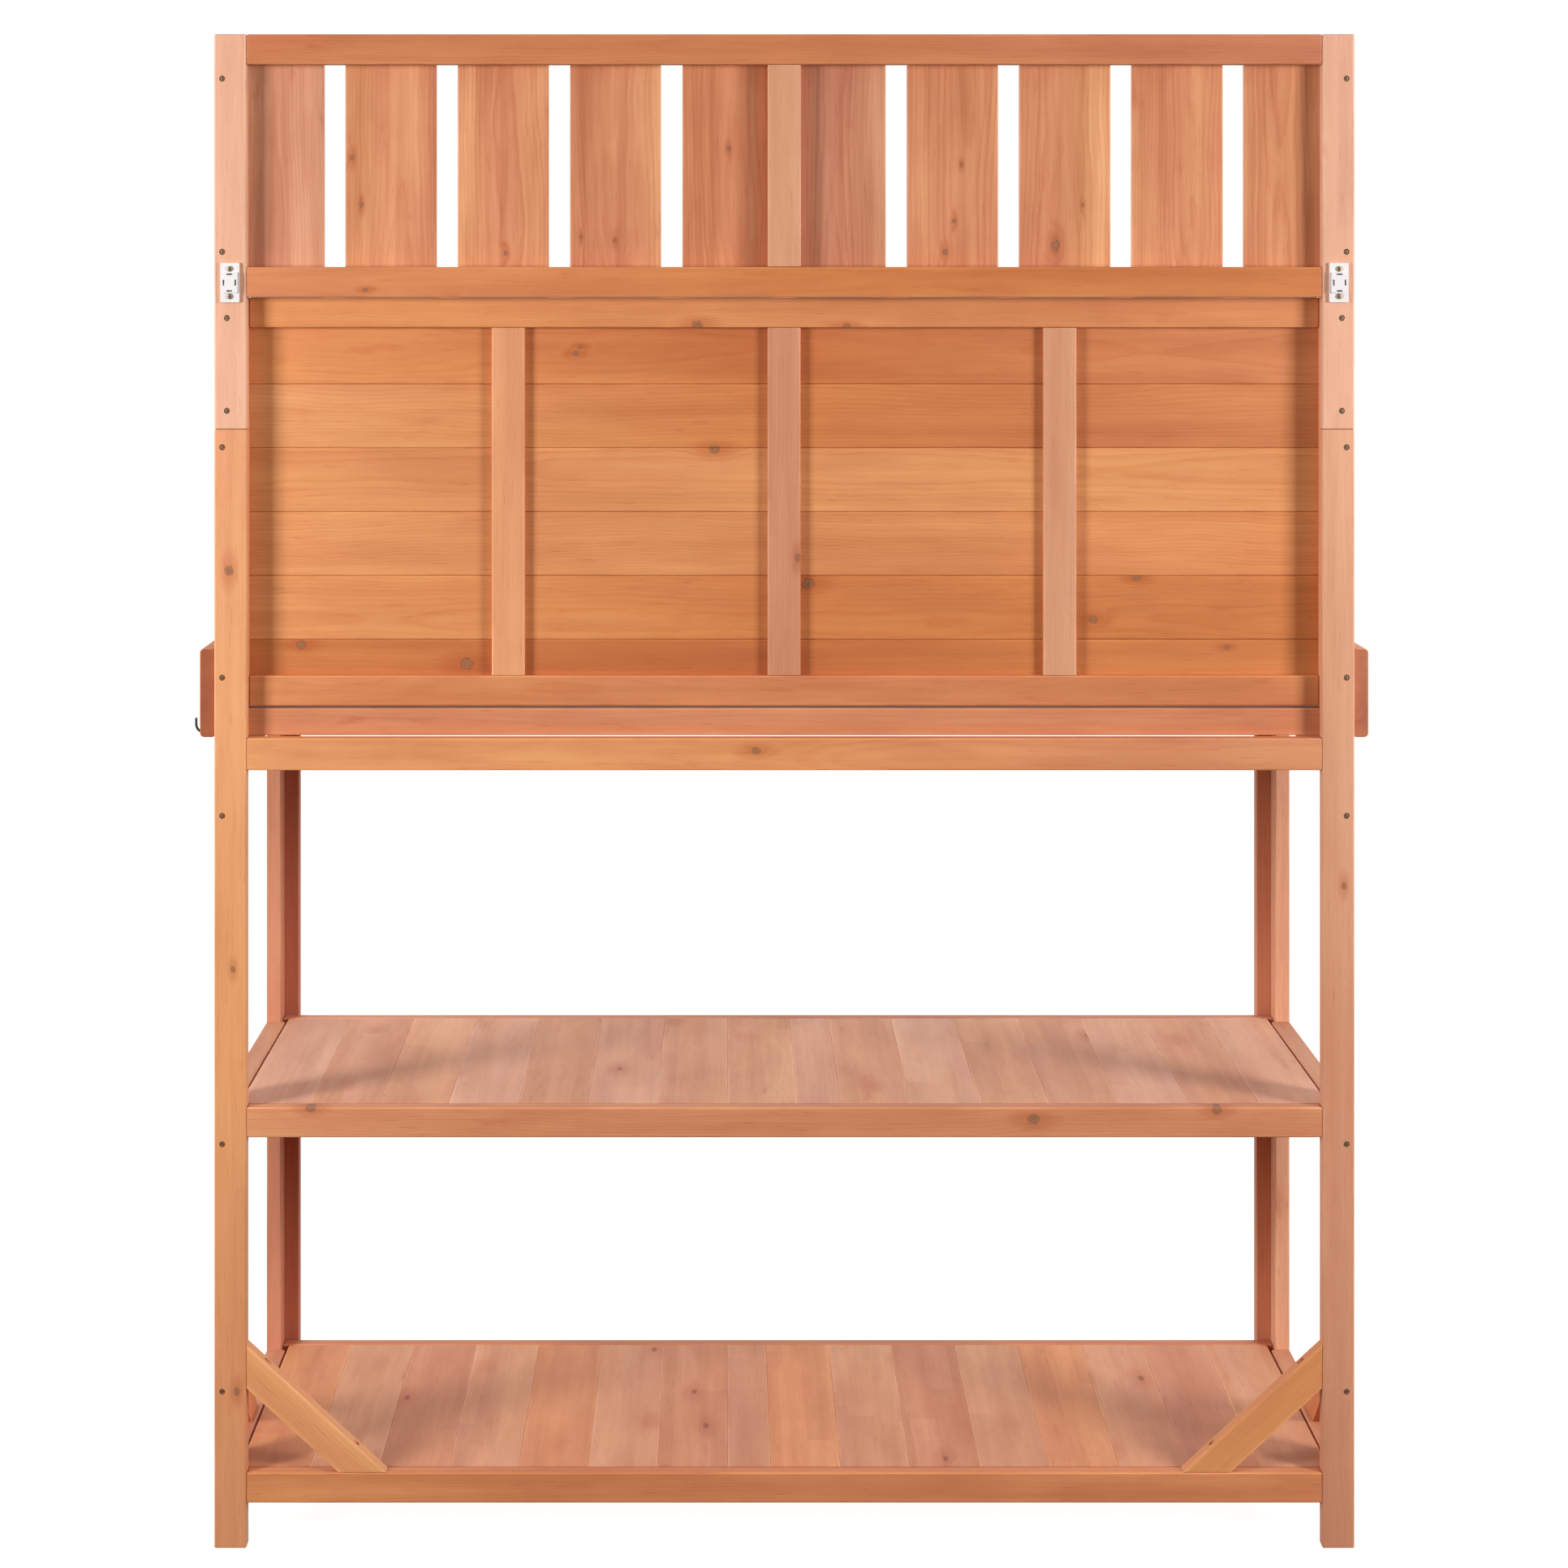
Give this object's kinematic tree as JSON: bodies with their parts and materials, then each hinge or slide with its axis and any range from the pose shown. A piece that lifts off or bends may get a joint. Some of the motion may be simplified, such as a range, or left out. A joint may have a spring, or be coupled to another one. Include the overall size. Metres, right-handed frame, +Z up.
{
  "type": "potting bench",
  "caption": "Timber potting bench with two plank shelves, a worktop between side aprons, and a tall back with a boarded panel below upright slats, side hooks and wall brackets.",
  "frame": {"origin": "on the ground, under the middle of the whole bench's bounding box, hooks and wall brackets included", "axes": "+Z up, -Y towards the person at the worktop, +Y towards the wall behind, +X to that person's right"},
  "size_m": [1.2644, 0.431, 1.6],
  "materials": {
    "fir_posts": "stained fir, matt, fine straight grain with small knots",
    "fir_rails": "stained fir, matt, warmer orange",
    "fir_boards": "stained fir boards, matt, flat-sawn figure",
    "fir_planks": "stained fir planks, matt, paler and greyer on top",
    "bracket_plastic": "white moulded nylon",
    "hook_coating": "dark green-black coated steel wire",
    "screw_steel": "browned zinc-plated steel"
  },
  "bodies": {
    "root": {"lower_back_post_left": "fir_posts", "upper_back_post_left": "fir_posts", "front_leg_face_left": "fir_posts", "lower_back_side_board_left": "fir_rails", "upper_back_side_board_left": "fir_rails", "front_leg_side_left": "fir_rails", "back_brace_left": "fir_boards", "side_brace_left": "fir_boards", "apron_left": "fir_boards", "lower_back_post_right": "fir_posts", "upper_back_post_right": "fir_posts", "front_leg_face_right": "fir_posts", "lower_back_side_board_right": "fir_rails", "upper_back_side_board_right": "fir_rails", "front_leg_side_right": "fir_rails", "back_brace_right": "fir_boards", "side_brace_right": "fir_boards", "apron_right": "fir_boards", "bottom_side_rails": "fir_rails", "shelf_side_rails": "fir_rails", "table_side_rails": "fir_rails", "bottom_back_rail": "fir_rails", "shelf_back_rail": "fir_rails", "table_back_rail": "fir_rails", "bottom_front_rail": "fir_rails", "shelf_front_rail": "fir_rails", "table_front_rail": "fir_rails", "mid_rail": "fir_rails", "top_rail": "fir_rails", "panel_top_rail": "fir_rails", "panel_bottom_rail": "fir_rails", "panel_stiles": "fir_rails", "worktop_back_rail": "fir_rails", "worktop_front_rail": "fir_rails", "worktop_side_rails": "fir_rails", "worktop_crossbars": "fir_rails", "shelf_cleats": "fir_rails", "bottom_cleats": "fir_rails", "slat_1": "fir_posts", "slat_2": "fir_posts", "slat_3": "fir_posts", "slat_4": "fir_posts", "slat_5": "fir_posts", "slat_6": "fir_posts", "slat_7": "fir_posts", "slat_8": "fir_posts", "slat_9": "fir_posts", "slat_10": "fir_posts", "slat_batten": "fir_posts", "panel_battens": "fir_posts", "panel_boards": "fir_boards", "worktop_boards": "fir_boards", "shelf_planks": "fir_planks", "bottom_planks": "fir_planks", "wall_brackets": "bracket_plastic", "tool_hooks": "hook_coating", "frame_screws": "screw_steel", "apron_screws": "screw_steel", "brace_screws": "screw_steel", "bracket_screws": "screw_steel"}
  },
  "joints": []
}
